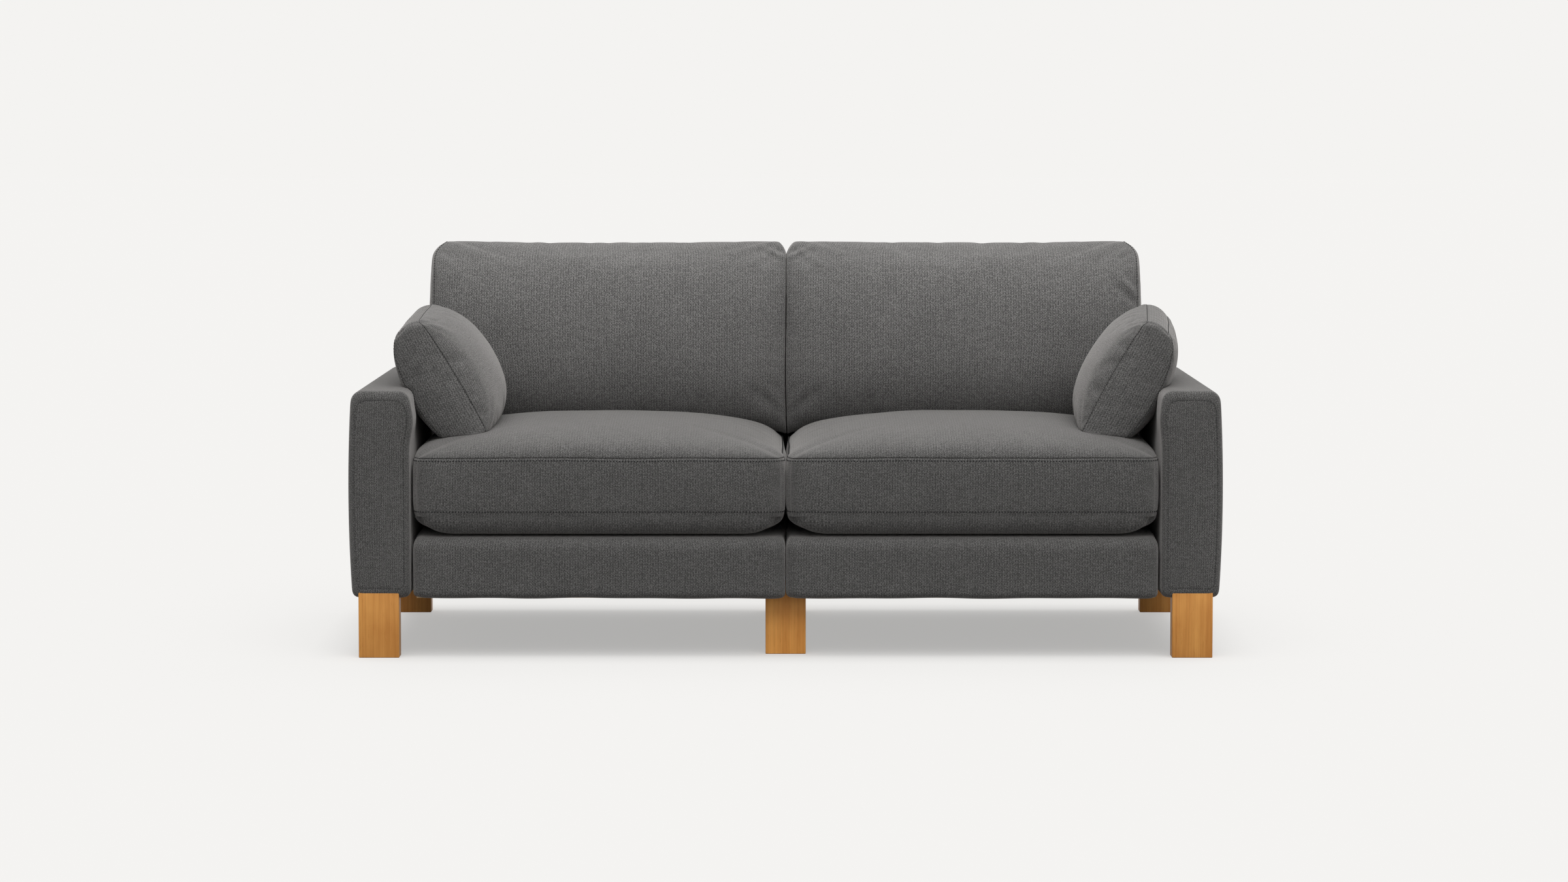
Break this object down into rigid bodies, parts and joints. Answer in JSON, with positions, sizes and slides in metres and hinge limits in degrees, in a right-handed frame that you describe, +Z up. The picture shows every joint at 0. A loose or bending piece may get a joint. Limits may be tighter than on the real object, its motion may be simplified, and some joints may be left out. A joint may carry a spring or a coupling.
{
  "type": "loveseat",
  "caption": "Modular upholstered loveseat with slab arms, loose boxed seat cushions, back cushions and arm pillows, on plank legs of honey-coloured wood.",
  "frame": {"origin": "on the floor, under the middle of the sofa's bounding box", "axes": "+X to the right of someone who looks at the sofa's front, +Y from its front to its back, +Z up"},
  "size_m": [1.83, 0.89, 0.8518],
  "materials": {
    "upholstery": "matte",
    "cushion_cover": "matte",
    "leg_wood": "satin",
    "frame_timber": "matte",
    "board": "matte",
    "spring_steel": "satin",
    "felt": "matte",
    "webbing": "matte",
    "dust_cloth": "matte"
  },
  "bodies": {
    "root": {"arm_bottom_rail_left": "frame_timber", "arm_bottom_rail_right": "frame_timber", "arm_front_post_left": "frame_timber", "arm_front_post_right": "frame_timber", "arm_panel_left": "board", "arm_panel_right": "board", "arm_pillow_left": "cushion_cover", "arm_pillow_right": "cushion_cover", "arm_rear_post_left": "frame_timber", "arm_rear_post_right": "frame_timber", "arm_top_rail_left": "frame_timber", "arm_top_rail_right": "frame_timber", "arm_upholstery_left": "upholstery", "arm_upholstery_right": "upholstery", "back_bottom_rail_left": "frame_timber", "back_bottom_rail_right": "frame_timber", "back_cushion_left": "cushion_cover", "back_cushion_right": "cushion_cover", "back_inner_stile_left": "frame_timber", "back_inner_stile_right": "frame_timber", "back_outer_stile_left": "frame_timber", "back_outer_stile_right": "frame_timber", "back_top_rail_left": "frame_timber", "back_top_rail_right": "frame_timber", "back_upholstery_left": "upholstery", "back_upholstery_right": "upholstery", "back_webbing_left": "webbing", "back_webbing_right": "webbing", "base_front_rail_left": "frame_timber", "base_front_rail_right": "frame_timber", "base_inner_rail_left": "frame_timber", "base_inner_rail_right": "frame_timber", "base_outer_rail_left": "frame_timber", "base_outer_rail_right": "frame_timber", "base_rear_rail_left": "frame_timber", "base_rear_rail_right": "frame_timber", "base_upholstery_left": "upholstery", "base_upholstery_right": "upholstery", "dust_cover_left": "dust_cloth", "dust_cover_right": "dust_cloth", "leg_front_centre": "leg_wood", "leg_front_left": "leg_wood", "leg_front_right": "leg_wood", "leg_rear_centre": "leg_wood", "leg_rear_left": "leg_wood", "leg_rear_right": "leg_wood", "seat_cushion_left": "cushion_cover", "seat_cushion_right": "cushion_cover", "seat_felt_left": "felt", "seat_felt_right": "felt", "seat_spring_left_1": "spring_steel", "seat_spring_left_2": "spring_steel", "seat_spring_left_3": "spring_steel", "seat_spring_left_4": "spring_steel", "seat_spring_right_1": "spring_steel", "seat_spring_right_2": "spring_steel", "seat_spring_right_3": "spring_steel", "seat_spring_right_4": "spring_steel"}
  },
  "joints": []
}
